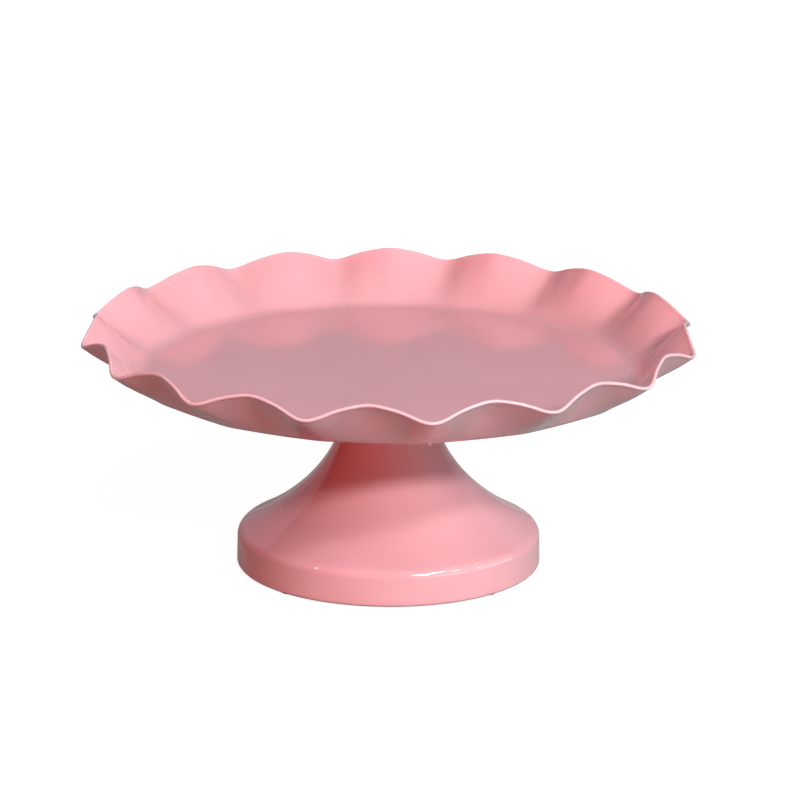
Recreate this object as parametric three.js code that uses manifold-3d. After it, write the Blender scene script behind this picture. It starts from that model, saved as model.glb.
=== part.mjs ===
// Cake stand: a shallow round plate with a ruffled rim on a trumpet-shaped pedestal.
// The plate is pressed from one sheet and carries a welded disc and stud underneath. The stud passes
// through a gasket and the pedestal's top, and washers and a wing nut inside the pedestal hold it.
// Millimetres, +Z up. The origin is on the stand's axis, in the plane that its foot pads stand on.

import * as THREE from 'three';
import { mergeVertices } from 'three/addons/utils/BufferGeometryUtils.js';
import Module from 'manifold-3d';

// ---- Plate ----
const SHEET = 1.2;                  // coated sheet steel, plate and pedestal alike
const FLOOR_TOP = 99;               // height of the plate's flat floor
const FLOOR_RADIUS = 118.1;         // where the floor starts to turn up
const FLOOR_FILLET = 12.8;          // bend between the floor and the wall
const WALL_SLOPE = 41.8;            // degrees above the horizontal
const RIM_RADIUS = 148.2;           // mean radius of the rim's upper edge

// ---- Ruffle: lobes that swell inwards and up, with narrower troughs between them ----
const LOBES = 16;
const RUFFLE = 4.5;                 // swing at the rim, square to the wall
const CREST_FLATNESS = 0.14;        // share of the second harmonic, which flattens the crests
const TROUGH_POINT = 0.06;          // share of the third harmonic, which narrows the troughs
const RUFFLE_TURN = 0.522;          // phase of the lobes about the axis, radians
const PITCH_DRIFT = 0.605;          // uneven spacing of the hand-set lobes, radians of phase
const PITCH_DRIFT_AT = 236.9;       // direction in which the drift is greatest, degrees

// ---- Pedestal, heights above its lower edge ----
const FOOT_RADIUS = 75.7;
const SHOULDER_HEIGHT = 13.9;       // top of the foot's upright side
const SHOULDER_RADIUS = 75.45;      // the side leans in slightly to here
const SHOULDER_ROUND = 5.1;
const FLARE_SLOPE = 26.7;           // slope where the flare leaves the shoulder, degrees
const FLARE_PULL = 18;              // how far the flare keeps that slope
const NECK_RADIUS = 22.3;
const NECK_START = 84;              // where the flare has become the straight neck
const NECK_PULL = 35;               // how far below it the flare is almost upright
const DECK_ROUND = 3;               // edge between the neck and the flat deck
const HEM_ROUND = 1.6;              // bend under the foot
const HEM_RADIUS = 61.5;            // inner edge of the hem turned in under the foot

// ---- Fixing: M6 stud, pitch 1 mm ----
const GAP = 0.2;                    // room left between pieces that touch
const DISC_RADIUS = 30;
const DISC_THICKNESS = 2;
const GASKET_RADIUS = 19.5;
const GASKET_THICKNESS = 1;
const STUD_RADIUS = 3;
const HOLE_RADIUS = 3.3;
const WASHER_RADIUS = 9;
const WASHER_THICKNESS = 1.6;
const SPRING_RADIUS = 5.9;
const SPRING_THICKNESS = 1.6;
const SPRING_SPLIT = 14;            // gap of the spring washer, degrees
const HUB_HEIGHT = 6.5;
const HUB_BASE_RADIUS = 6.5;
const HUB_END_RADIUS = 5.4;
const STUD_PROUD = 3.5;             // stud showing below the tightened nut
const WING_THICKNESS = 2.6;
const EAR_RADIUS = 3.9;             // round end of a wing
const EAR_REACH = 12.6;             // from the axis to the ear's centre
const EAR_DROP = 12.9;              // from the bearing face to the ear's centre

// ---- Foot pads ----
const PAD_COUNT = 4;
const PAD_RADIUS = 5;
const PAD_HEIGHT = 1;
const PAD_CIRCLE = 67.8;            // radius of the circle the pads stand on

// ---- Facets ----
const STEPS_PER_LOBE = 12;
const FILLET_STEPS = 4;
const WALL_STEPS = 4;
const PEDESTAL_SIDES = 48;
const SMALL_SIDES = 32;

// Heights that follow from the sizes above.
const DISC_TOP = FLOOR_TOP - SHEET - GAP;
const GASKET_TOP = DISC_TOP - DISC_THICKNESS - GAP;
const DECK_TOP = GASKET_TOP - GASKET_THICKNESS - GAP;
const PEDESTAL_BOTTOM = PAD_HEIGHT + GAP;
const PEDESTAL_HEIGHT = DECK_TOP - PEDESTAL_BOTTOM;
const WASHER_TOP = DECK_TOP - SHEET - GAP;
const SPRING_TOP = WASHER_TOP - WASHER_THICKNESS - GAP;
const NUT_TOP = SPRING_TOP - SPRING_THICKNESS - GAP;
const STUD_TOP = DISC_TOP - GAP;
const STUD_BOTTOM = NUT_TOP - HUB_HEIGHT - STUD_PROUD;

const PINK_ENAMEL = { color: 0xe8929c, roughness: 0.22, metalness: 0.1 };
const ZINC_STEEL = { color: 0xb9bcc0, roughness: 0.38, metalness: 0.9 };
const BARE_STEEL = { color: 0x8f9296, roughness: 0.45, metalness: 0.9 };
const GREY_RUBBER = { color: 0x4a4547, roughness: 0.85, metalness: 0 };
const CLEAR_SILICONE = { color: 0xc9c4c2, roughness: 0.6, metalness: 0 };

function piece(name, geometry, finish, height = 0) {
  const mesh = new THREE.Mesh(geometry, new THREE.MeshStandardMaterial(finish));
  mesh.name = name;
  mesh.position.z = height;
  return mesh;
}

// A solid of revolution about +Z. The profile lists [radius, height] points anticlockwise, with the
// radius to the right and the height up.
function turned(profile, sides = SMALL_SIDES) {
  const points = profile.map(([radius, height]) => new THREE.Vector2(radius, height));
  return new THREE.LatheGeometry(points, sides).rotateX(Math.PI / 2);
}

// A flat ring whose lower face is at height 0, with its outer edges eased.
function ring(innerRadius, outerRadius, thickness, ease) {
  return turned([
    [innerRadius, 0],
    [outerRadius - ease, 0],
    [outerRadius, ease],
    [outerRadius, thickness - ease],
    [outerRadius - ease, thickness],
    [innerRadius, thickness],
    [innerRadius, 0],
  ]);
}

// ---- Plate ----

// How far the ruffle swings at a direction round the plate, as a share of its full swing.
function ruffleAt(angle) {
  const drift = PITCH_DRIFT * Math.cos(angle - THREE.MathUtils.degToRad(PITCH_DRIFT_AT));
  const phase = LOBES * angle + RUFFLE_TURN + drift;
  const shaping = TROUGH_POINT * Math.cos(3 * phase) - CREST_FLATNESS * Math.cos(2 * phase);
  return Math.cos(phase) + shaping;
}

// Stations up the plate's upper face, from the floor's edge to the rim. Each has the radius and
// height of the unruffled sheet, its slope there, and how much of the ruffle reaches it.
function wallStations() {
  const slope = THREE.MathUtils.degToRad(WALL_SLOPE);
  const stations = [];
  for (let i = 0; i <= FILLET_STEPS; i++) {
    const turn = (slope * i) / FILLET_STEPS;
    stations.push({
      radius: FLOOR_RADIUS + FLOOR_FILLET * Math.sin(turn),
      height: FLOOR_TOP + FLOOR_FILLET * (1 - Math.cos(turn)),
      slope: turn,
      travel: FLOOR_FILLET * turn,
    });
  }
  const foot = stations[FILLET_STEPS];
  const wallLength = (RIM_RADIUS - foot.radius) / Math.cos(slope);
  for (let i = 1; i <= WALL_STEPS; i++) {
    const along = (wallLength * i) / WALL_STEPS;
    stations.push({
      radius: foot.radius + along * Math.cos(slope),
      height: foot.height + along * Math.sin(slope),
      slope,
      travel: foot.travel + along,
    });
  }
  const total = foot.travel + wallLength;
  for (const station of stations) {
    station.share = THREE.MathUtils.smoothstep(station.travel, 0, total);
  }
  return stations;
}

// A point of the sheet, a depth below its upper face.
function sheetPoint(station, angle, depth) {
  const lift = RUFFLE * station.share * ruffleAt(angle) - depth;
  const radius = station.radius - lift * Math.sin(station.slope);
  const height = station.height + lift * Math.cos(station.slope);
  return [radius * Math.cos(angle), radius * Math.sin(angle), height];
}

// The plate is closed by rings of points: its upper face outwards, then its lower face back in.
function ruffledPlate() {
  const columns = LOBES * STEPS_PER_LOBE;
  const stations = wallStations();
  const rings = [
    ...stations.map((station) => ({ station, depth: 0 })),
    ...stations.slice().reverse().map((station) => ({ station, depth: SHEET })),
  ];
  const positions = [0, 0, FLOOR_TOP, 0, 0, FLOOR_TOP - SHEET];
  for (const { station, depth } of rings) {
    for (let i = 0; i < columns; i++) {
      positions.push(...sheetPoint(station, (2 * Math.PI * i) / columns, depth));
    }
  }
  const upperCentre = 0;
  const lowerCentre = 1;
  const vertex = (row, column) => 2 + row * columns + (column % columns);
  const last = rings.length - 1;
  const index = [];
  for (let i = 0; i < columns; i++) {
    index.push(upperCentre, vertex(0, i), vertex(0, i + 1));
    index.push(lowerCentre, vertex(last, i + 1), vertex(last, i));
    for (let row = 0; row < last; row++) {
      index.push(vertex(row, i), vertex(row + 1, i), vertex(row + 1, i + 1));
      index.push(vertex(row, i), vertex(row + 1, i + 1), vertex(row, i + 1));
    }
  }
  const geometry = new THREE.BufferGeometry();
  geometry.setAttribute('position', new THREE.Float32BufferAttribute(positions, 3));
  geometry.setIndex(index);
  return geometry;
}

// ---- Pedestal ----

// The outer face of the spun sheet, from the hole in its deck to the inner edge of its hem.
function pedestalOutline() {
  const slope = THREE.MathUtils.degToRad(FLARE_SLOPE);
  const deckRadius = NECK_RADIUS - DECK_ROUND;
  const shoulderCentre = SHOULDER_RADIUS - SHOULDER_ROUND;
  const flareEnd = {
    x: shoulderCentre + SHOULDER_ROUND * Math.sin(slope),
    y: SHOULDER_HEIGHT + SHOULDER_ROUND * Math.cos(slope),
  };
  const outline = new THREE.Path();
  outline.moveTo(HOLE_RADIUS, PEDESTAL_HEIGHT);
  outline.lineTo(deckRadius, PEDESTAL_HEIGHT);
  outline.absarc(deckRadius, PEDESTAL_HEIGHT - DECK_ROUND, DECK_ROUND, Math.PI / 2, 0, true);
  outline.lineTo(NECK_RADIUS, NECK_START);
  outline.bezierCurveTo(
    NECK_RADIUS, NECK_START - NECK_PULL,
    flareEnd.x - FLARE_PULL * Math.cos(slope), flareEnd.y + FLARE_PULL * Math.sin(slope),
    flareEnd.x, flareEnd.y,
  );
  outline.absarc(shoulderCentre, SHOULDER_HEIGHT, SHOULDER_ROUND, Math.PI / 2 - slope, 0, true);
  outline.lineTo(FOOT_RADIUS, HEM_ROUND);
  outline.absarc(FOOT_RADIUS - HEM_ROUND, HEM_ROUND, HEM_ROUND, 0, -Math.PI / 2, true);
  outline.lineTo(HEM_RADIUS, 0);
  return sampled(outline);
}

// Points along a path: arcs and flares by their length, and straight runs by their ends.
function sampled(path) {
  const points = [path.curves[0].getPoint(0)];
  for (const curve of path.curves) {
    let steps = 1;
    if (curve.isEllipseCurve) steps = 3;
    if (curve.isCubicBezierCurve) steps = 10;
    for (let i = 1; i <= steps; i++) {
      const point = curve.getPoint(i / steps);
      if (point.distanceTo(points.at(-1)) > GAP / 2) points.push(point);
    }
  }
  return points;
}

// Closes an outline into a sheet of even thickness, on the right of its direction of travel.
function thickened(outline, thickness) {
  const inner = outline.map((point, i) => {
    const before = outline[Math.max(i - 1, 0)];
    const after = outline[Math.min(i + 1, outline.length - 1)];
    const arriving = point.clone().sub(before).normalize();
    const leaving = after.clone().sub(point).normalize();
    const along = arriving.add(leaving).normalize();
    return new THREE.Vector2(point.x + along.y * thickness, point.y - along.x * thickness);
  });
  return [...inner, ...outline.slice().reverse(), inner[0].clone()];
}

function pedestal() {
  const profile = thickened(pedestalOutline(), SHEET);
  return turned(profile.map((point) => [point.x, point.y]), PEDESTAL_SIDES);
}

// ---- Fixing ----

// The stud's lower end is chamfered, and its upper end sits in the disc's hole.
function threadedStud() {
  const length = STUD_TOP - STUD_BOTTOM;
  const chamfer = 0.6;
  return turned([
    [0, 0],
    [STUD_RADIUS - chamfer, 0],
    [STUD_RADIUS, chamfer],
    [STUD_RADIUS, length],
    [0, length],
  ], 24);
}

function springWasher() {
  const halfSplit = THREE.MathUtils.degToRad(SPRING_SPLIT / 2);
  const outline = new THREE.Shape();
  outline.absarc(0, 0, SPRING_RADIUS, halfSplit, 2 * Math.PI - halfSplit, false);
  outline.absarc(0, 0, HOLE_RADIUS, 2 * Math.PI - halfSplit, halfSplit, true);
  outline.closePath();
  return new THREE.ExtrudeGeometry(outline, {
    depth: SPRING_THICKNESS,
    bevelEnabled: false,
    curveSegments: 14,
  });
}

// One wing, drawn with the distance from the axis to the right and the drop below the nut's
// bearing face upwards, then stood upright and centred on the XZ plane.
function wing() {
  const root = 3.9;
  const tilt = THREE.MathUtils.degToRad(20);
  const outline = new THREE.Shape();
  outline.moveTo(root, 0.8);
  outline.bezierCurveTo(
    9, 1.2, 14.2, 5.2,
    EAR_REACH + EAR_RADIUS * Math.cos(tilt), EAR_DROP - EAR_RADIUS * Math.sin(tilt),
  );
  outline.absarc(EAR_REACH, EAR_DROP, EAR_RADIUS, -tilt, Math.PI - tilt, false);
  outline.bezierCurveTo(7.6, 10.6, 6.2, 7.4, root, HUB_HEIGHT - 0.4);
  outline.closePath();
  const settings = { depth: WING_THICKNESS, bevelEnabled: false, curveSegments: 7 };
  const geometry = new THREE.ExtrudeGeometry(outline, settings);
  return geometry.rotateX(-Math.PI / 2).translate(0, -WING_THICKNESS / 2, 0);
}

function hub() {
  return turned([
    [HOLE_RADIUS, -HUB_HEIGHT],
    [HUB_END_RADIUS, -HUB_HEIGHT],
    [HUB_BASE_RADIUS, 0],
    [HOLE_RADIUS, 0],
    [HOLE_RADIUS, -HUB_HEIGHT],
  ]);
}

// The nut hangs below its bearing face, which is at height 0.
function wingNut(wasm) {
  const body = toSolid(wasm, hub());
  const wings = toSolid(wasm, wing()).add(toSolid(wasm, wing().rotateZ(Math.PI)));
  return toGeometry(body.add(wings));
}

function footPad() {
  return turned([
    [0, 0],
    [PAD_RADIUS - 0.4, 0],
    [PAD_RADIUS, 0.4],
    [PAD_RADIUS, PAD_HEIGHT],
    [0, PAD_HEIGHT],
  ], 20);
}

// ---- Joining ----

function toSolid(wasm, geometry) {
  const bare = geometry.clone();
  bare.deleteAttribute('normal');
  bare.deleteAttribute('uv');
  const merged = mergeVertices(bare, 1e-3);
  const triVerts = Uint32Array.from(merged.index.array);
  const vertProperties = Float32Array.from(merged.attributes.position.array);
  return new wasm.Manifold(new wasm.Mesh({ numProp: 3, vertProperties, triVerts }));
}

function toGeometry(solid) {
  const mesh = solid.getMesh();
  const geometry = new THREE.BufferGeometry();
  geometry.setAttribute('position', new THREE.Float32BufferAttribute(mesh.vertProperties, 3));
  geometry.setIndex(new THREE.Uint32BufferAttribute(mesh.triVerts, 1));
  return geometry;
}

// ---- Assembly ----

const wasm = await Module();
wasm.setup();

const plateGroup = new THREE.Group();
const disc = ring(HOLE_RADIUS, DISC_RADIUS, DISC_THICKNESS, 0.5);
const gasket = ring(HOLE_RADIUS, GASKET_RADIUS, GASKET_THICKNESS, 0.2);
plateGroup.add(piece('ruffled_plate', ruffledPlate(), PINK_ENAMEL));
plateGroup.add(piece('mounting_disc', disc, PINK_ENAMEL, DISC_TOP - DISC_THICKNESS));
plateGroup.add(piece('threaded_stud', threadedStud(), ZINC_STEEL, STUD_BOTTOM));
plateGroup.add(piece('gasket', gasket, CLEAR_SILICONE, GASKET_TOP - GASKET_THICKNESS));

const pedestalGroup = new THREE.Group();
pedestalGroup.add(piece('pedestal', pedestal(), PINK_ENAMEL, PEDESTAL_BOTTOM));
for (let i = 0; i < PAD_COUNT; i++) {
  const angle = (2 * Math.PI * (i + 0.5)) / PAD_COUNT;
  const pad = piece(`foot_pad_${i + 1}`, footPad(), GREY_RUBBER);
  pad.position.set(PAD_CIRCLE * Math.cos(angle), PAD_CIRCLE * Math.sin(angle), 0);
  pedestalGroup.add(pad);
}

const fixingGroup = new THREE.Group();
const flatWasher = ring(HOLE_RADIUS, WASHER_RADIUS, WASHER_THICKNESS, 0.2);
fixingGroup.add(piece('flat_washer', flatWasher, ZINC_STEEL, WASHER_TOP - WASHER_THICKNESS));
fixingGroup.add(piece('spring_washer', springWasher(), BARE_STEEL, SPRING_TOP - SPRING_THICKNESS));
fixingGroup.add(piece('wing_nut', wingNut(wasm), ZINC_STEEL, NUT_TOP));

const cakeStand = new THREE.Group();
cakeStand.add(plateGroup, pedestalGroup, fixingGroup);
export default cakeStand;
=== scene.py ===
"""Looks for the ruffled cake stand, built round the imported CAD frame. Metres, +Z up."""

import math

import bmesh
import bpy
from mathutils import Matrix, Vector


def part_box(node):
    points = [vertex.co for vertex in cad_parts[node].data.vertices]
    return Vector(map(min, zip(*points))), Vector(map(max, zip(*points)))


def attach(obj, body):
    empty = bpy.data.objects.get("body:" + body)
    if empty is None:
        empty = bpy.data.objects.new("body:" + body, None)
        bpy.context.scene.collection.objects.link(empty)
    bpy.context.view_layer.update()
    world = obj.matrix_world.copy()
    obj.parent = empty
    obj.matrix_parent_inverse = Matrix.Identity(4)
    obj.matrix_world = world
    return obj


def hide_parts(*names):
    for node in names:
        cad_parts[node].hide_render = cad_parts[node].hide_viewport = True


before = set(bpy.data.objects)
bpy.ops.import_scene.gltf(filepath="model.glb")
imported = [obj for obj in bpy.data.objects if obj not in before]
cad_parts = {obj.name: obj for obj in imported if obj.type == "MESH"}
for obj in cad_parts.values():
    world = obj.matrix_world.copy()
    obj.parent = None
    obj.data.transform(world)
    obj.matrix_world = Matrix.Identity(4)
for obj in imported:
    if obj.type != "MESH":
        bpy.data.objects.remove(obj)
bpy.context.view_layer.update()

MM = 0.001
STAND, WASHERS, NUT = "stand", "washers", "wing_nut"

# ---- Sizes of the sheet parts, as in the CAD model ----
SHEET = 1.2 * MM
FLOOR_TOP = 99 * MM
FLOOR_RADIUS = 118.1 * MM
FLOOR_FILLET = 12.8 * MM
WALL_SLOPE = math.radians(41.8)
RIM_RADIUS = 148.2 * MM
LOBES = 16
RUFFLE = 4.5 * MM
CREST_FLATNESS = 0.14
TROUGH_POINT = 0.06
RUFFLE_TURN = 0.522
PITCH_DRIFT = 0.605
PITCH_DRIFT_AT = math.radians(236.9)
BEAD_RADIUS = 0.85 * MM        # the enamel gathers in a bead along the rim's edge
BEAD_BLEND = 2.2 * MM          # the bead grows out of the sheet over this length
FLOOR_RINGS = (8 * MM, 30 * MM, 60 * MM, 90 * MM, 112 * MM)
COLUMNS_PER_LOBE = 40
FILLET_ROWS, WALL_ROWS, BEAD_ROWS = 10, 26, 10
WALL_CROWDING = 1.5            # above 1, the wall's rows crowd towards the rim

FOOT_RADIUS = 75.7 * MM
SHOULDER_HEIGHT = 13.9 * MM
SHOULDER_RADIUS = 75.45 * MM
SHOULDER_ROUND = 5.1 * MM
FLARE_SLOPE = math.radians(26.7)
FLARE_PULL = 18 * MM
NECK_RADIUS = 22.3 * MM
NECK_START = 84 * MM
NECK_PULL = 35 * MM
DECK_ROUND = 3 * MM
HEM_ROUND = 1.6 * MM
HEM_RADIUS = 61.5 * MM
PEDESTAL_SIDES = 256

HOLE_RADIUS = 3.3 * MM
STUD_RADIUS = 3 * MM
THREAD_PITCH = 1 * MM
THREAD_DEPTH = 0.58 * MM
WELDED_LENGTH = 2.5 * MM       # the stud's plain end, in the mounting disc

HUB_HEIGHT = 6.5 * MM
HUB_BASE_RADIUS = 6.5 * MM
HUB_END_RADIUS = 5.4 * MM
NUT_BORE = 3.22 * MM
WING_THICKNESS = 2.6 * MM
WING_ROOT = 3.9 * MM
EAR_RADIUS = 3.9 * MM
EAR_REACH = 12.6 * MM
EAR_DROP = 12.9 * MM
DISH_RADIUS = 2.7 * MM
DISH_DEPTH = 0.3 * MM

# ---- Camera ----
CAMERA_DISTANCE = 2.3816
CAMERA_ELEVATION = math.radians(15.4)
CAMERA_LENS = 217          # millimetres
SENSOR_WIDTH = 36
CAMERA_ROLL = 0.0063       # radians
RIM_MEAN_HEIGHT = 121.5 * MM
AIM_ASIDE = 5.3 * MM       # the camera looks a little to the right of the axis
AIM_BELOW = 35.7 * MM      # and below the rim

# ---- Surroundings ----
# The pale panel's sizes are shares of its distance behind the stand.
PANEL_HALF_WIDTH = 1.17
PANEL_ASIDE = 0.13         # its middle lies this far to the left
PANEL_HEIGHT = 0.86
WIDTH_BLUR, HEIGHT_BLUR = 0.02, 0.04
# Its light fades in over these stretches of a direction's Y and Z.
BEHIND_EDGE, HORIZON_EDGE = (0.02, 0.06), (-0.02, 0.03)
PANEL_LIGHT = (0.41, 0.34, 0.38)
ROOM_LIGHT = (0.055, 0.066, 0.052)
SWEEP_SEEN = 0.9           # how bright the pale sweep looks to the eye
SWEEP_IN_ENAMEL = 0.15     # and how bright it is in the enamel's reflections
LIGHT_DISTANCE = 2.3
LIGHTS_AIM = 0.08          # height of the point that all lights face
CARD = (1.6, 0.4)          # a reflecting card's width and height
CARD_ELEVATION = 5.5       # degrees


# ---- Mesh helpers ----

def new_object(name, bm, material, smooth=True):
    mesh = bpy.data.meshes.new(name)
    bmesh.ops.recalc_face_normals(bm, faces=bm.faces)
    bm.to_mesh(mesh)
    bm.free()
    obj = bpy.data.objects.new(name, mesh)
    bpy.context.scene.collection.objects.link(obj)
    for m in material if isinstance(material, list) else [material]:
        mesh.materials.append(m)
    for polygon in mesh.polygons:
        polygon.use_smooth = smooth
    return obj


def dress(obj, body, node):
    """The piece stands for its CAD node, which it hides, and rides on the node's body."""
    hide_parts(node)
    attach(obj, body)
    return obj


def grid_faces(bm, rows, closed_rows=True, material_of=None):
    """Quads between neighbouring rings of vertices. closed_rows joins the last ring to the first."""
    count = len(rows)
    for i in range(count if closed_rows else count - 1):
        lower, upper = rows[i], rows[(i + 1) % count]
        columns = len(lower)
        for j in range(columns):
            k = (j + 1) % columns
            face = bm.faces.new((lower[j], lower[k], upper[k], upper[j]))
            if material_of:
                face.material_index = material_of(i)


def ring_of(bm, radius, height, sides):
    turns = [2 * math.pi * i / sides for i in range(sides)]
    return [bm.verts.new((radius * math.cos(t), radius * math.sin(t), height)) for t in turns]


def revolved(name, profile, material, sides=96, material_of=None):
    """A closed profile of (radius, height) points turned about the axis."""
    bm = bmesh.new()
    rows = [ring_of(bm, radius, height, sides) for radius, height in profile]
    grid_faces(bm, rows, material_of=material_of)
    return new_object(name, bm, material)


def arc(centre, radius, start, end, steps):
    """Points of an arc, angles in radians, both ends included."""
    angles = [start + (end - start) * i / steps for i in range(steps + 1)]
    return [(centre[0] + radius * math.cos(a), centre[1] + radius * math.sin(a)) for a in angles]


def line(start, end, steps):
    """Points of a line, both ends included."""
    shares = [i / steps for i in range(steps + 1)]
    return [(start[0] + (end[0] - start[0]) * s, start[1] + (end[1] - start[1]) * s) for s in shares]


def bezier(p0, p1, p2, p3, steps):
    points = []
    for i in range(steps + 1):
        t = i / steps
        weights = ((1 - t) ** 3, 3 * (1 - t) ** 2 * t, 3 * (1 - t) * t * t, t ** 3)
        points.append(tuple(sum(w * p[axis] for w, p in zip(weights, (p0, p1, p2, p3))) for axis in (0, 1)))
    return points


def without_repeats(points, nearest=0.02 * MM):
    kept = [points[0]]
    for point in points[1:]:
        if math.dist(point, kept[-1]) > nearest:
            kept.append(point)
    return kept


def beside(points, distance):
    """The same open outline moved to the right of its direction of travel."""
    moved = []
    for i, point in enumerate(points):
        before = Vector(points[max(i - 1, 0)])
        after = Vector(points[min(i + 1, len(points) - 1)])
        here = Vector(point)
        along = Vector((0, 0))
        if i > 0:
            along += (here - before).normalized()
        if i < len(points) - 1:
            along += (after - here).normalized()
        along.normalize()
        moved.append((here.x + along.y * distance, here.y - along.x * distance))
    return moved


# ---- Materials ----

NOISE_RANGE = (0.3, 0.7)       # where nearly all of a noise's values lie


def new_material(name):
    material = bpy.data.materials.new(name)
    material.use_nodes = True
    nodes = material.node_tree.nodes
    return material, nodes, material.node_tree.links, nodes["Principled BSDF"]


def noise_node(nodes, links, position, scale, detail=3.0, roughness=0.5):
    node = nodes.new("ShaderNodeTexNoise")
    node.inputs["Scale"].default_value = scale
    node.inputs["Detail"].default_value = detail
    node.inputs["Roughness"].default_value = roughness
    links.new(position, node.inputs["Vector"])
    return node.outputs["Fac"]


def mapped(nodes, links, value, low, high, from_low=0.0, from_high=1.0):
    node = nodes.new("ShaderNodeMapRange")
    node.inputs["From Min"].default_value = from_low
    node.inputs["From Max"].default_value = from_high
    node.inputs["To Min"].default_value = low
    node.inputs["To Max"].default_value = high
    links.new(value, node.inputs["Value"])
    return node.outputs["Result"]


def mixed(nodes, links, factor, first, second):
    """Mixes two colours, each a tuple or a socket."""
    node = nodes.new("ShaderNodeMix")
    node.data_type = "RGBA"
    for name, value in (("A", first), ("B", second)):
        socket = next(s for s in node.inputs if s.name == name and s.type == "RGBA")
        if isinstance(value, tuple):
            socket.default_value = (*value, 1)
        else:
            links.new(value, socket)
    links.new(factor, node.inputs["Factor"])
    return next(s for s in node.outputs if s.type == "RGBA")


def arithmetic(nodes, links, operation, first, second=None):
    node = nodes.new("ShaderNodeMath")
    node.operation = operation
    links.new(first, node.inputs[0])
    if isinstance(second, float):
        node.inputs[1].default_value = second
    elif second:
        links.new(second, node.inputs[1])
    return node.outputs["Value"]


def bump(nodes, links, height, distance, strength=1.0, below=None):
    node = nodes.new("ShaderNodeBump")
    node.inputs["Strength"].default_value = strength
    node.inputs["Distance"].default_value = distance
    links.new(height, node.inputs["Height"])
    if below:
        links.new(below, node.inputs["Normal"])
    return node.outputs["Normal"]


def pink_enamel(name, thin, full, gloss):
    """Glossy baked enamel on pressed steel: orange peel, slow waves of the sheet, fine dust specks."""
    material, nodes, links, shader = new_material(name)
    position = nodes.new("ShaderNodeTexCoord").outputs["Object"]
    cloud_scale, haze_scale, speck_scale, wave_scale, peel_scale = 14, 60, 1900, 22, 520
    wave_depth, peel_depth = 0.25 * MM, 0.02 * MM
    rare_speck, full_speck, speck_strength = 0.73, 0.8, 0.5
    speck_colour = (0.66, 0.24, 0.26)
    cloud = noise_node(nodes, links, position, cloud_scale, 3)
    tone = mapped(nodes, links, cloud, 0, 1, *NOISE_RANGE)
    colour = mixed(nodes, links, tone, thin, full)
    specks = noise_node(nodes, links, position, speck_scale, 1)
    speck_mask = mapped(nodes, links, specks, 0, speck_strength, rare_speck, full_speck)
    colour = mixed(nodes, links, speck_mask, colour, speck_colour)
    links.new(colour, shader.inputs["Base Color"])
    haze = noise_node(nodes, links, position, haze_scale, 4)
    links.new(mapped(nodes, links, haze, *gloss, *NOISE_RANGE), shader.inputs["Roughness"])
    waves = bump(nodes, links, noise_node(nodes, links, position, wave_scale, 1), wave_depth, 0.5)
    peel = bump(nodes, links, noise_node(nodes, links, position, peel_scale, 2), peel_depth, 0.6, waves)
    links.new(peel, shader.inputs["Normal"])
    shader.inputs["IOR"].default_value = 1.5
    shader.inputs["Coat Weight"].default_value = 0.25
    shader.inputs["Coat Roughness"].default_value = 0.06
    return material


def inner_enamel():
    """The hollow's inside: a thinner, duller coat with a coarse grain."""
    material, nodes, links, shader = new_material("inner_enamel")
    position = nodes.new("ShaderNodeTexCoord").outputs["Object"]
    cloud = noise_node(nodes, links, position, 45, 5, 0.6)
    grain = noise_node(nodes, links, position, 900, 2)
    tone = mapped(nodes, links, cloud, 0, 1, 0.35, 0.65)
    coat = mixed(nodes, links, tone, (0.74, 0.31, 0.335), (0.8, 0.36, 0.385))
    links.new(coat, shader.inputs["Base Color"])
    links.new(mapped(nodes, links, cloud, 0.3, 0.48), shader.inputs["Roughness"])
    links.new(bump(nodes, links, grain, 0.05 * MM, 0.7), shader.inputs["Normal"])
    return material


def zinc_plate():
    """Bright zinc with a faint bluish bloom and a fine grain."""
    material, nodes, links, shader = new_material("zinc_plate")
    position = nodes.new("ShaderNodeTexCoord").outputs["Object"]
    bloom = noise_node(nodes, links, position, 160, 4)
    tone = mapped(nodes, links, bloom, 0, 1, *NOISE_RANGE)
    colour = mixed(nodes, links, tone, (0.55, 0.56, 0.58), (0.68, 0.69, 0.7))
    links.new(colour, shader.inputs["Base Color"])
    shader.inputs["Metallic"].default_value = 1
    links.new(mapped(nodes, links, bloom, 0.25, 0.42), shader.inputs["Roughness"])
    grain = noise_node(nodes, links, position, 1500, 3)
    links.new(bump(nodes, links, grain, 0.02 * MM, 0.5), shader.inputs["Normal"])
    return material


def spring_steel():
    """Dark oiled spring steel with a fine grain."""
    material, nodes, links, shader = new_material("spring_steel")
    position = nodes.new("ShaderNodeTexCoord").outputs["Object"]
    film = noise_node(nodes, links, position, 300, 4)
    colour = mixed(nodes, links, film, (0.22, 0.21, 0.2), (0.36, 0.35, 0.34))
    links.new(colour, shader.inputs["Base Color"])
    shader.inputs["Metallic"].default_value = 1
    links.new(mapped(nodes, links, film, 0.3, 0.5), shader.inputs["Roughness"])
    grain = noise_node(nodes, links, position, 2200, 2)
    links.new(bump(nodes, links, grain, 0.015 * MM, 0.6), shader.inputs["Normal"])
    return material


def pad_rubber():
    """Matt moulded rubber with a fine grain and a little dust."""
    material, nodes, links, shader = new_material("pad_rubber")
    position = nodes.new("ShaderNodeTexCoord").outputs["Object"]
    dust = noise_node(nodes, links, position, 350, 4)
    tone = mapped(nodes, links, dust, 0, 1, 0.4, 0.75)
    colour = mixed(nodes, links, tone, (0.055, 0.052, 0.053), (0.11, 0.105, 0.105))
    links.new(colour, shader.inputs["Base Color"])
    links.new(mapped(nodes, links, dust, 0.7, 0.9), shader.inputs["Roughness"])
    grain = noise_node(nodes, links, position, 2600, 2)
    links.new(bump(nodes, links, grain, 0.04 * MM, 0.6), shader.inputs["Normal"])
    return material


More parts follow.
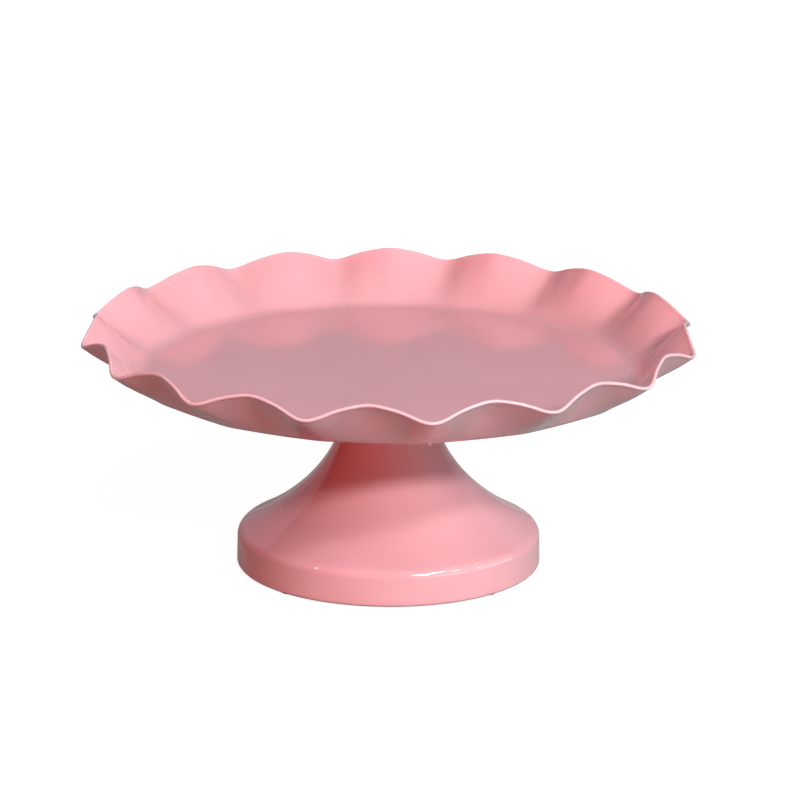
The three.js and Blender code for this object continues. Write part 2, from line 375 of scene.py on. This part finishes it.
def adhesive_film():
    """Yellowish clear tape between a pad and the hem."""
    material, nodes, links, shader = new_material("adhesive_film")
    position = nodes.new("ShaderNodeTexCoord").outputs["Object"]
    cloud = noise_node(nodes, links, position, 500, 3)
    colour = mixed(nodes, links, cloud, (0.5, 0.45, 0.34), (0.62, 0.57, 0.45))
    links.new(colour, shader.inputs["Base Color"])
    links.new(mapped(nodes, links, cloud, 0.25, 0.45), shader.inputs["Roughness"])
    return material


def gasket_rubber():
    """Milky silicone, slightly waxy."""
    material, nodes, links, shader = new_material("gasket_rubber")
    position = nodes.new("ShaderNodeTexCoord").outputs["Object"]
    cloud = noise_node(nodes, links, position, 120, 3)
    colour = mixed(nodes, links, cloud, (0.56, 0.52, 0.5), (0.66, 0.62, 0.6))
    links.new(colour, shader.inputs["Base Color"])
    links.new(mapped(nodes, links, cloud, 0.45, 0.6), shader.inputs["Roughness"])
    grain = noise_node(nodes, links, position, 1200, 2)
    links.new(bump(nodes, links, grain, 0.03 * MM, 0.4), shader.inputs["Normal"])
    return material


# ---- Plate ----

def ruffle_at(angle):
    """Swing of the ruffle at a direction round the plate, about -1 to 1 of its full swing."""
    phase = LOBES * angle + RUFFLE_TURN + PITCH_DRIFT * math.cos(angle - PITCH_DRIFT_AT)
    shaping = TROUGH_POINT * math.cos(3 * phase) - CREST_FLATNESS * math.cos(2 * phase)
    return math.cos(phase) + shaping


def wall_stations():
    """(radius, height, slope, share of the ruffle, way to go) up the plate's upper face from the floor's
    edge to the middle of the rim's bead."""
    stations = []
    for i in range(FILLET_ROWS + 1):
        turn = WALL_SLOPE * i / FILLET_ROWS
        radius = FLOOR_RADIUS + FLOOR_FILLET * math.sin(turn)
        height = FLOOR_TOP + FLOOR_FILLET * (1 - math.cos(turn))
        stations.append([radius, height, turn, FLOOR_FILLET * turn])
    foot_radius, foot_height, _, foot_travel = stations[-1]
    wall_length = (RIM_RADIUS - foot_radius) / math.cos(WALL_SLOPE)
    bead_at = wall_length - BEAD_RADIUS / 2
    for i in range(1, WALL_ROWS + 1):
        along = bead_at * (1 - (1 - i / WALL_ROWS) ** WALL_CROWDING)
        radius = foot_radius + along * math.cos(WALL_SLOPE)
        height = foot_height + along * math.sin(WALL_SLOPE)
        stations.append([radius, height, WALL_SLOPE, foot_travel + along])
    total = foot_travel + wall_length
    end = foot_travel + bead_at
    return [(r, z, slope, eased(travel / total), end - travel) for r, z, slope, travel in stations]


def eased(share):
    """Goes from 0 to 1 with a level start and finish."""
    return share * share * (3 - 2 * share)


def upper_point(station, angle):
    radius, height, slope, share, _ = station
    lift = RUFFLE * share * ruffle_at(angle)
    radius -= lift * math.sin(slope)
    return Vector((radius * math.cos(angle), radius * math.sin(angle), height + lift * math.cos(slope)))


def ruffled_plate(sheet_material, bead_highlight_material):
    columns = LOBES * COLUMNS_PER_LOBE
    angles = [2 * math.pi * i / columns for i in range(columns)]
    upper = [[Vector((r * math.cos(a), r * math.sin(a), FLOOR_TOP)) for a in angles] for r in FLOOR_RINGS]
    flat_rows = len(upper) + 1
    stations = wall_stations()
    upper += [[upper_point(s, a) for a in angles] for s in stations]
    normals = row_normals(upper, flat_rows)
    swell = [0.0] * len(FLOOR_RINGS) + [bead_swell(station[-1]) for station in stations]
    bm = bmesh.new()
    rows = [[bm.verts.new(p + n * extra) for p, n in zip(row, row_normal)]
            for row, row_normal, extra in zip(upper, normals, swell)]
    # The bead: half a circle from the upper to the lower face.
    rim, rim_normals = upper[-1], normals[-1]
    outward = [(rim[j] - upper[-2][j]).normalized() for j in range(columns)]
    for i in range(1, BEAD_ROWS):
        turn = math.pi * i / BEAD_ROWS
        row = []
        for j in range(columns):
            middle = rim[j] - rim_normals[j] * SHEET / 2
            swing = rim_normals[j] * math.cos(turn) + outward[j] * math.sin(turn)
            row.append(bm.verts.new(middle + swing * BEAD_RADIUS))
        rows.append(row)
    for row, row_normal, extra in zip(reversed(upper), reversed(normals), reversed(swell)):
        rows.append([bm.verts.new(p - n * (SHEET + extra)) for p, n in zip(row, row_normal)])
    bead_from = len(upper) - 1

    # The bead's rows take the second material, painted lighter than the sheet as a highlight along the rim.
    def material_of(i):
        return 1 if bead_from <= i < bead_from + BEAD_ROWS else 0

    grid_faces(bm, rows, closed_rows=False, material_of=material_of)
    bm.faces.new(rows[0])
    bm.faces.new(rows[-1])
    obj = new_object("enamelled_plate", bm, [sheet_material, bead_highlight_material])
    return dress(obj, STAND, "ruffled_plate")


def bead_swell(way_to_go):
    """How far each face stands out from the plain sheet, this far from the middle of the bead."""
    return (BEAD_RADIUS - SHEET / 2) * eased(max(0.0, 1 - way_to_go / BEAD_BLEND))


def row_normals(rows, flat_rows):
    """Normals of a grid of points, square to the real surface. The floor's rows point straight up."""
    columns = len(rows[0])
    normals = [[Vector((0, 0, 1))] * columns for _ in range(flat_rows)]
    for i in range(flat_rows, len(rows)):
        row = []
        for j in range(columns):
            across = rows[i][(j + 1) % columns] - rows[i][j - 1]
            up = rows[min(i + 1, len(rows) - 1)][j] - rows[i - 1][j]
            row.append(up.cross(across).normalized() * (-1 if up.cross(across).z < 0 else 1))
        normals.append(row)
    return normals


# ---- Pedestal ----

def pedestal_outline(bottom, deck_top):
    """The outer face of the spun sheet, from the hole in its deck to the inner edge of its hem."""
    deck = NECK_RADIUS - DECK_ROUND
    centre = (SHOULDER_RADIUS - SHOULDER_ROUND, bottom + SHOULDER_HEIGHT)
    flare_end = (centre[0] + SHOULDER_ROUND * math.sin(FLARE_SLOPE),
                 centre[1] + SHOULDER_ROUND * math.cos(FLARE_SLOPE))
    pulled = (flare_end[0] - FLARE_PULL * math.cos(FLARE_SLOPE),
              flare_end[1] + FLARE_PULL * math.sin(FLARE_SLOPE))
    neck = (NECK_RADIUS, bottom + NECK_START)
    points = line((HOLE_RADIUS, deck_top), (deck, deck_top), 4)
    points += arc((deck, deck_top - DECK_ROUND), DECK_ROUND, math.pi / 2, 0, 8)
    points += line((NECK_RADIUS, deck_top - DECK_ROUND), neck, 2)
    points += bezier(neck, (NECK_RADIUS, neck[1] - NECK_PULL), pulled, flare_end, 36)
    points += arc(centre, SHOULDER_ROUND, math.pi / 2 - FLARE_SLOPE, 0, 10)
    points += line((SHOULDER_RADIUS, centre[1]), (FOOT_RADIUS, bottom + HEM_ROUND), 4)
    points += arc((FOOT_RADIUS - HEM_ROUND, bottom + HEM_ROUND), HEM_ROUND, 0, -math.pi / 2, 7)
    points += line((FOOT_RADIUS - HEM_ROUND, bottom), (HEM_RADIUS, bottom), 5)
    return without_repeats(points)


def pedestal(outer_material, inner_material):
    low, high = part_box("pedestal")
    outline = pedestal_outline(low.z, high.z)
    inner = beside(outline, SHEET)
    profile = outline + inner[::-1]
    outer_faces = len(outline)

    def material_of(i):
        return 0 if i < outer_faces else 1

    obj = revolved("spun_pedestal", profile, [outer_material, inner_material], PEDESTAL_SIDES, material_of)
    return dress(obj, STAND, "pedestal")


# ---- Fixing pieces ----

def rounded_ring(inner, outer, low, high, ease, steps=4):
    """Closed profile of a flat ring with rounded edges."""
    quarter = math.pi / 2
    points = arc((outer - ease, low + ease), ease, -quarter, 0, steps)
    points += arc((outer - ease, high - ease), ease, 0, quarter, steps)
    points += arc((inner + ease, high - ease), ease, quarter, 2 * quarter, steps)
    points += arc((inner + ease, low + ease), ease, 2 * quarter, 3 * quarter, steps)
    return without_repeats(points, 0.005 * MM)


def mounting_disc(material):
    """The welded disc, with a ring of spot welds pressed into its lower face."""
    low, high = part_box("mounting_disc")
    top = FLOOR_TOP - SHEET
    radius = high.x
    ease = 0.5 * MM
    welds, weld_circle, weld_radius, weld_depth = 6, 24.5 * MM, 2.6 * MM, 0.28 * MM
    weld_fullness = 0.6            # below 1, a weld's dent has a flatter bottom and steeper sides
    bm = bmesh.new()
    sides, rings = 216, 44
    radii = [HOLE_RADIUS + (radius - ease - HOLE_RADIUS) * i / rings for i in range(rings + 1)]
    rows = []
    for r in radii:
        row = ring_of(bm, r, low.z, sides)
        for vertex in row:
            turn = math.atan2(vertex.co.y, vertex.co.x) * welds / (2 * math.pi)
            nearest = round(turn) * 2 * math.pi / welds
            weld = Vector((weld_circle * math.cos(nearest), weld_circle * math.sin(nearest)))
            share = (vertex.co.xy - weld).length / weld_radius
            if share < 1:
                vertex.co.z += weld_depth * (0.5 + 0.5 * math.cos(math.pi * share)) ** weld_fullness
        rows.append(row)
    edge = arc((radius - ease, low.z + ease), ease, -math.pi / 2, 0, 5)[1:]
    edge += arc((radius - ease, top - ease), ease, 0, math.pi / 2, 5)
    edge += [(HOLE_RADIUS, top)]
    rows += [ring_of(bm, r, z, sides) for r, z in edge]
    grid_faces(bm, rows)
    obj = new_object("welded_disc", bm, material)
    return dress(obj, STAND, "mounting_disc")


def gasket(material):
    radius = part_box("gasket")[1].x
    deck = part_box("pedestal")[1].z
    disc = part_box("mounting_disc")[0].z
    profile = rounded_ring(HOLE_RADIUS, radius, deck, disc, 0.45 * MM, 5)
    obj = revolved("silicone_gasket", profile, material, 128)
    return dress(obj, STAND, "gasket")


def threaded_stud(material):
    """The stud with its helical thread, a rolled M6 profile, and a chamfered end."""
    low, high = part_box("threaded_stud")
    sides, rows_per_turn = 48, 14
    flank_steepness, crest_width = 2.6, 0.18
    tip_radius = STUD_RADIUS - THREAD_DEPTH - 0.1 * MM
    thread_top = high.z - WELDED_LENGTH
    rows_count = round((thread_top - low.z) / THREAD_PITCH * rows_per_turn)
    bm = bmesh.new()
    rows = []
    for i in range(rows_count + 1):
        height = low.z + (thread_top - low.z) * i / rows_count
        chamfer = tip_radius + (height - low.z)
        fade = min(1.0, (thread_top - height) / THREAD_PITCH)
        row = []
        for j in range(sides):
            turn = j / sides
            phase = (height / THREAD_PITCH - turn) % 1
            flank = min(1.0, max(0.0, abs(phase - 0.5) * flank_steepness - crest_width))
            radius = min(STUD_RADIUS - THREAD_DEPTH * flank * fade, chamfer)
            angle = 2 * math.pi * turn
            row.append(bm.verts.new((radius * math.cos(angle), radius * math.sin(angle), height)))
        rows.append(row)
    rows.append(ring_of(bm, STUD_RADIUS, high.z, sides))
    grid_faces(bm, rows, closed_rows=False)
    bm.faces.new(rows[0])
    bm.faces.new(rows[-1])
    obj = new_object("rolled_stud", bm, material)
    return dress(obj, STAND, "threaded_stud")


def flat_washer(material):
    low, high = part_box("flat_washer")
    lift, ease = 0.15 * MM, 0.25 * MM      # the lift closes most of the gap below the deck
    profile = rounded_ring(HOLE_RADIUS, high.x, low.z, high.z + lift, ease)
    obj = revolved("plain_washer", profile, material, 96)
    return dress(obj, WASHERS, "flat_washer")


def spring_washer(material):
    """A ring of rounded square wire with a slanting split and its ends sprung slightly apart."""
    low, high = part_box("spring_washer")
    width = high.x - HOLE_RADIUS
    middle_height, half_height = (low.z + high.z) / 2, 0.72 * MM
    spring = 0.1 * MM
    split, slant = math.radians(9), math.radians(9)
    section = rounded_ring(-width / 2, width / 2, -half_height, half_height, 0.2 * MM, 3)
    steps = 90
    bm = bmesh.new()
    rows = []
    for i in range(steps + 1):
        share = i / steps
        row = []
        for across, up in section:
            turn = split / 2 + (2 * math.pi - split) * share + slant * up / half_height / 2
            radius = HOLE_RADIUS + width / 2 + across
            height = middle_height + up + spring * (2 * share - 1)
            row.append(bm.verts.new((radius * math.cos(turn), radius * math.sin(turn), height)))
        rows.append(row)
    grid_faces(bm, rows, closed_rows=False)
    bm.faces.new(rows[0])
    bm.faces.new(rows[-1])
    obj = new_object("split_washer", bm, material)
    return dress(obj, WASHERS, "spring_washer")


def ear_outline():
    """(out, down) outline of one wing of the nut, seen along its thickness, from hub to hub."""
    tilt = math.radians(20)
    upper_end = (EAR_REACH + EAR_RADIUS * math.cos(tilt), EAR_DROP - EAR_RADIUS * math.sin(tilt))
    upper_root, lower_root = (WING_ROOT, 0.8 * MM), (WING_ROOT, HUB_HEIGHT - 0.4 * MM)
    upper_pulls = ((9 * MM, 1.2 * MM), (14.2 * MM, 5.2 * MM))
    lower_pulls = ((7.6 * MM, 10.6 * MM), (6.2 * MM, 7.4 * MM))
    points = bezier(upper_root, *upper_pulls, upper_end, 16)
    points += arc((EAR_REACH, EAR_DROP), EAR_RADIUS, -tilt, math.pi - tilt, 18)
    points += bezier(points[-1], *lower_pulls, lower_root, 14)
    return without_repeats(points, 0.05 * MM)


def wing_nut(material):
    """A cast wing nut: hub and wings grown together, every join and edge rounded, the ears dished."""
    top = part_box("wing_nut")[1].z
    bottom = top - HUB_HEIGHT
    chamfer, end_chamfer = 0.5 * MM, 0.4 * MM
    bm = bmesh.new()
    hub = [(NUT_BORE, bottom + chamfer), (NUT_BORE + chamfer, bottom),
           (HUB_END_RADIUS - end_chamfer, bottom), (HUB_END_RADIUS, bottom + end_chamfer),
           (HUB_BASE_RADIUS, top - chamfer), (HUB_BASE_RADIUS - chamfer, top),
           (NUT_BORE + chamfer, top), (NUT_BORE, top - chamfer)]
    grid_faces(bm, [ring_of(bm, radius, height, 96) for radius, height in hub])
    for side in (1, -1):
        faces = []
        for y in (-WING_THICKNESS / 2, WING_THICKNESS / 2):
            row = [bm.verts.new((side * out, y, top - down)) for out, down in ear_outline()]
            faces.append(row)
            bm.faces.new(row)
        grid_faces(bm, faces, closed_rows=False)
    rough = new_object("wing_nut_blank", bm, material)
    skin = rough.modifiers.new("skin", "REMESH")
    skin.mode = "VOXEL"
    skin.voxel_size = 0.24 * MM
    ease = rough.modifiers.new("ease", "SMOOTH")
    ease.factor = 0.5
    ease.iterations = 9
    bpy.context.view_layer.update()
    shape = bpy.data.meshes.new_from_object(rough.evaluated_get(bpy.context.evaluated_depsgraph_get()))
    bpy.data.objects.remove(rough)
    obj = bpy.data.objects.new("cast_wing_nut", shape)
    bpy.context.scene.collection.objects.link(obj)
    for vertex in shape.vertices:
        ear = Vector((abs(vertex.co.x) - EAR_REACH, top - vertex.co.z - EAR_DROP))
        share = ear.length / DISH_RADIUS
        if share < 1 and abs(vertex.normal.y) > 0.8:
            vertex.co.y -= math.copysign(DISH_DEPTH * min(1, 2.5 * (1 - share)), vertex.co.y)
    for polygon in shape.polygons:
        polygon.use_smooth = True
    return dress(obj, NUT, "wing_nut")


def foot_pad(index, rubber, adhesive):
    """A moulded disc with a rounded rim and two grip grooves, stuck on with a clear film."""
    node = f"foot_pad_{index}"
    low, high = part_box(node)
    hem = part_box("pedestal")[0].z
    radius = (high.x - low.x) / 2
    eye, eye_dent = 0.4 * MM, 0.02 * MM
    groove, mouth, bed = 0.16 * MM, 0.35 * MM, 0.15 * MM       # a groove's depth and half widths
    ease, top_ease = 0.35 * MM, 0.15 * MM
    film_radius = radius - 0.25 * MM
    profile = [(eye, low.z + eye_dent)]
    for at in (1.7 * MM, 3.1 * MM):
        profile += [(at - mouth, low.z), (at - bed, low.z + groove),
                    (at + bed, low.z + groove), (at + mouth, low.z)]
    profile += arc((radius - ease, low.z + ease), ease, -math.pi / 2, 0, 5)
    profile += arc((radius - top_ease, high.z - top_ease), top_ease, 0, math.pi / 2, 3)
    film_from = len(profile) - 1
    profile += [(film_radius, high.z), (film_radius, hem), (eye, hem)]
    obj = revolved(f"grip_pad_{index}", profile, [rubber, adhesive], 64,
                   lambda i: 1 if i >= film_from else 0)
    middle = (low + high) / 2
    obj.data.transform(Matrix.Translation((middle.x, middle.y, 0)))
    return dress(obj, STAND, node)


# ---- Stage ----

def stage_floor():
    """A pale floor that glows a little, as a lit sweep does, and can be looked through from below."""
    bm = bmesh.new()
    bmesh.ops.create_grid(bm, x_segments=1, y_segments=1, size=12)
    material, nodes, links, shader = new_material("pale_floor")
    shader.inputs["Base Color"].default_value = (0.42, 0.42, 0.42, 1)
    shader.inputs["Roughness"].default_value = 0.7
    shader.inputs["Specular IOR Level"].default_value = 0.1
    shader.inputs["Emission Color"].default_value = (1, 1, 1, 1)
    # The sweep is lit from within for the eye, and lights and shows in the enamel only a little.
    seen = nodes.new("ShaderNodeLightPath").outputs["Is Camera Ray"]
    links.new(mapped(nodes, links, seen, SWEEP_IN_ENAMEL, SWEEP_SEEN), shader.inputs["Emission Strength"])
    clear = nodes.new("ShaderNodeBsdfTransparent")
    choice = nodes.new("ShaderNodeMixShader")
    links.new(nodes.new("ShaderNodeNewGeometry").outputs["Backfacing"], choice.inputs["Fac"])
    links.new(shader.outputs["BSDF"], choice.inputs[1])
    links.new(clear.outputs["BSDF"], choice.inputs[2])
    links.new(choice.outputs["Shader"], nodes["Material Output"].inputs["Surface"])
    obj = new_object("floor", bm, material, smooth=False)
    obj.visible_diffuse = False


def camera():
    data = bpy.data.cameras.new("camera")
    data.lens = CAMERA_LENS
    data.sensor_width = SENSOR_WIDTH
    data.clip_start = 0.05
    data.clip_end = 50
    obj = bpy.data.objects.new("camera", data)
    bpy.context.scene.collection.objects.link(obj)
    back = Vector((0, -math.cos(CAMERA_ELEVATION), math.sin(CAMERA_ELEVATION)))
    up = Vector((0, math.sin(CAMERA_ELEVATION), math.cos(CAMERA_ELEVATION)))
    rim_centre = Vector((0, 0, RIM_MEAN_HEIGHT))
    target = rim_centre + Vector((AIM_ASIDE, 0, 0)) - up * AIM_BELOW
    obj.location = rim_centre + back * CAMERA_DISTANCE
    facing = (target - obj.location).to_track_quat("-Z", "Y").to_matrix().to_4x4()
    obj.matrix_world = Matrix.Translation(obj.location) @ facing @ Matrix.Rotation(CAMERA_ROLL, 4, "Z")
    bpy.context.scene.camera = obj


def softbox(name, azimuth, elevation, size, power, colour=(1, 1, 1), glossy=True):
    """A rectangular light facing the stand. Azimuth 0 is in front, towards the camera, 90 to the right.
    One that isn't glossy lights the stand without showing in its enamel."""
    data = bpy.data.lights.new(name, "AREA")
    data.shape = "RECTANGLE"
    data.size, data.size_y = size
    data.energy = power
    data.color = colour
    obj = bpy.data.objects.new(name, data)
    bpy.context.scene.collection.objects.link(obj)
    a, e = math.radians(azimuth), math.radians(elevation)
    away = Vector((math.sin(a) * math.cos(e), -math.cos(a) * math.cos(e), math.sin(e)))
    obj.location = Vector((0, 0, LIGHTS_AIM)) + away * LIGHT_DISTANCE
    obj.rotation_euler = (-away).to_track_quat("-Z", "Y").to_euler()
    obj.visible_glossy = glossy


def surroundings():
    """A dim room with one pale panel behind the stand, as wide and tall as the glossy enamel shows it."""
    world = bpy.data.worlds.new("room")
    bpy.context.scene.world = world
    world.use_nodes = True
    nodes, links = world.node_tree.nodes, world.node_tree.links
    split = nodes.new("ShaderNodeSeparateXYZ")
    links.new(nodes.new("ShaderNodeTexCoord").outputs["Generated"], split.inputs["Vector"])
    across = arithmetic(nodes, links, "DIVIDE", split.outputs["X"], split.outputs["Y"])
    across = arithmetic(nodes, links, "ABSOLUTE", arithmetic(nodes, links, "ADD", across, PANEL_ASIDE))
    up = arithmetic(nodes, links, "DIVIDE", split.outputs["Z"], split.outputs["Y"])
    side_edge = (PANEL_HALF_WIDTH - WIDTH_BLUR, PANEL_HALF_WIDTH + WIDTH_BLUR)
    top_edge = (PANEL_HEIGHT - HEIGHT_BLUR, PANEL_HEIGHT + HEIGHT_BLUR)
    in_width = mapped(nodes, links, across, 1, 0, *side_edge)
    in_height = mapped(nodes, links, up, 1, 0, *top_edge)
    behind = mapped(nodes, links, split.outputs["Y"], 0, 1, *BEHIND_EDGE)
    above = mapped(nodes, links, split.outputs["Z"], 0, 1, *HORIZON_EDGE)
    panel = arithmetic(nodes, links, "MULTIPLY", in_width, in_height)
    panel = arithmetic(nodes, links, "MULTIPLY", panel, behind)
    panel = arithmetic(nodes, links, "MULTIPLY", panel, above)
    colour = mixed(nodes, links, panel, ROOM_LIGHT, PANEL_LIGHT)
    # Where nothing stands behind the object, the room shows as the same pale sweep as the floor.
    seen = nodes.new("ShaderNodeLightPath").outputs["Is Camera Ray"]
    sweep = (SWEEP_SEEN, SWEEP_SEEN, SWEEP_SEEN)
    links.new(mixed(nodes, links, seen, colour, sweep), nodes["Background"].inputs["Color"])


bpy.context.scene.view_settings.view_transform = "Standard"
camera()
surroundings()
stage_floor()
softbox("key", 24.5, 27, (0.42, 0.18), 29.2)
softbox("key_left", 2, 27, (0.2, 0.18), 3.6, glossy=False)
softbox("upper", 41, 37, (0.46, 0.18), 16.5)
softbox("upper_right", 57, 34, (0.25, 0.25), 2.7)
softbox("high", 7, 50, (0.5, 0.18), 8.2, glossy=False)
softbox("glint_right", 74, 21, (0.12, 0.1), 1.7)
softbox("glint_left", -65, 42, (0.1, 0.1), 1.6)
softbox("front_card", 0, CARD_ELEVATION, CARD, 1.7)
softbox("white_card", 40, CARD_ELEVATION, CARD, 7.3)
softbox("side_card", 85, CARD_ELEVATION, CARD, 7.2)
softbox("pink_card", -40, CARD_ELEVATION, CARD, 15.1, (1, 0.01, 0.003), glossy=False)
softbox("back_card", 183, 5, (1.8, 0.45), 20, glossy=False)

plate_enamel = pink_enamel("plate_enamel", (0.84, 0.394, 0.435), (0.88, 0.425, 0.467), (0.11, 0.16))
# The rim's bead gets a lighter pink than the sheet: a painted highlight along the rim's edge.
bead_painted_highlight = pink_enamel("bead_painted_highlight", (0.9, 0.52, 0.57), (0.93, 0.55, 0.6), (0.14, 0.2))
foot_enamel = pink_enamel("foot_enamel", (0.775, 0.378, 0.415), (0.812, 0.407, 0.445), (0.035, 0.055))
zinc = zinc_plate()
ruffled_plate(plate_enamel, bead_painted_highlight)
pedestal(foot_enamel, inner_enamel())
mounting_disc(plate_enamel)
gasket(gasket_rubber())
threaded_stud(zinc)
flat_washer(zinc)
spring_washer(spring_steel())
wing_nut(zinc)
rubber, film = pad_rubber(), adhesive_film()
for pad_index in (1, 2, 3, 4):
    foot_pad(pad_index, rubber, film)

bpy.context.view_layer.update()
